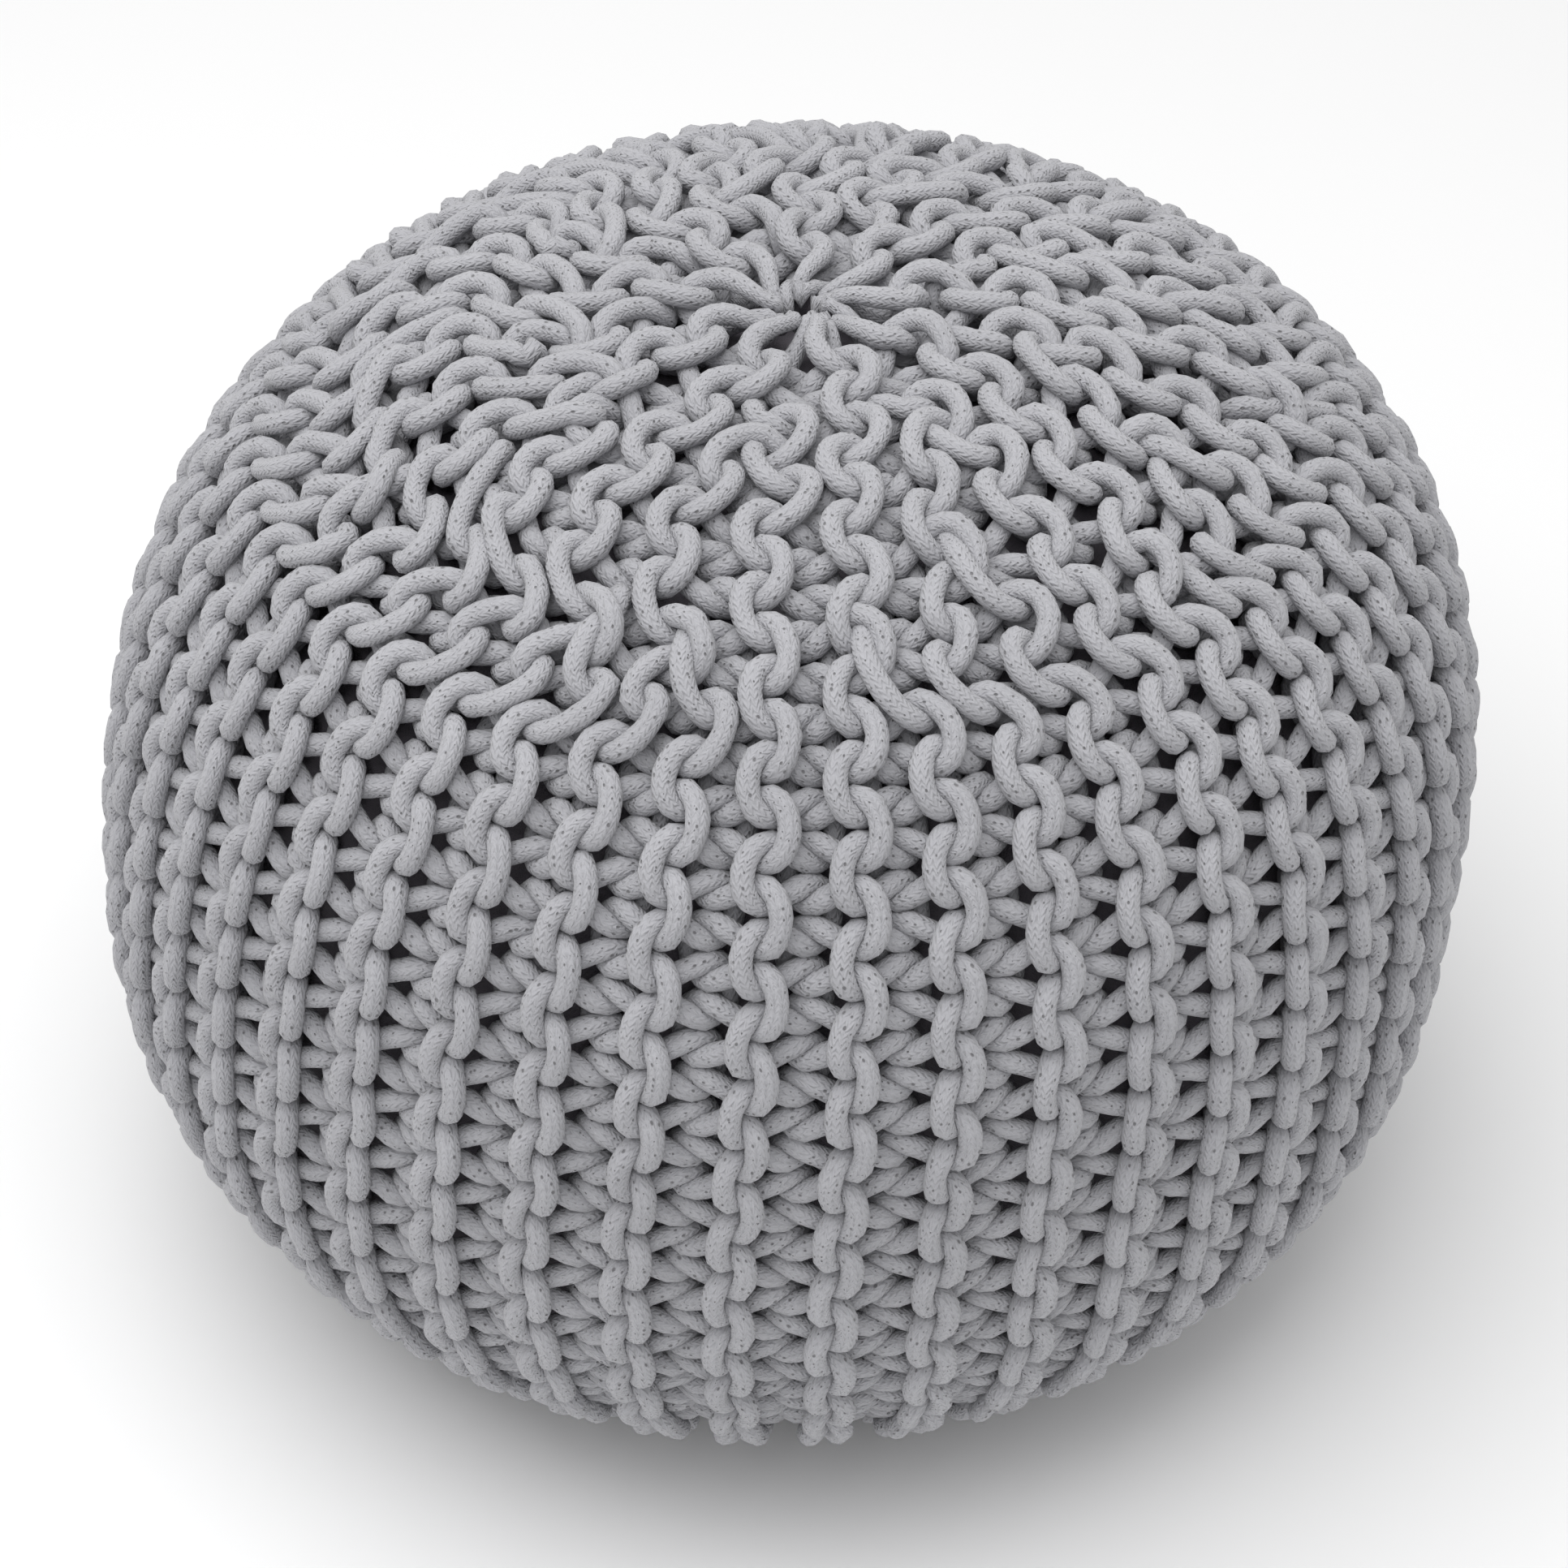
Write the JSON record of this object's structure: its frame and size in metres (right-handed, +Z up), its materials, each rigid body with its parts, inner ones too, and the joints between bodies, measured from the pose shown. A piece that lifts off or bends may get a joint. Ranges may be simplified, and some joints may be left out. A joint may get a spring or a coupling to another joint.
{
  "type": "knitted pouf",
  "caption": "Round knitted cotton-cord pouf with vertical garter ridges, a drawn-up crown, a filled cloth bag inside and a flattened base to stand on.",
  "frame": {"origin": "middle of the base, on the surface that the pouf stands on", "axes": "+Z up through the crown, the front at -Y, +X to the right"},
  "size_m": [0.5024, 0.4994, 0.386],
  "materials": {
    "cotton_cord": "matte knitted cotton cord in light grey, slightly fuzzy, with tiny dark flecks",
    "bag_cloth": "matte plain-woven grey cloth"
  },
  "bodies": {
    "root": {"knit_cover": "cotton_cord", "inner_bag": "bag_cloth"}
  },
  "joints": []
}
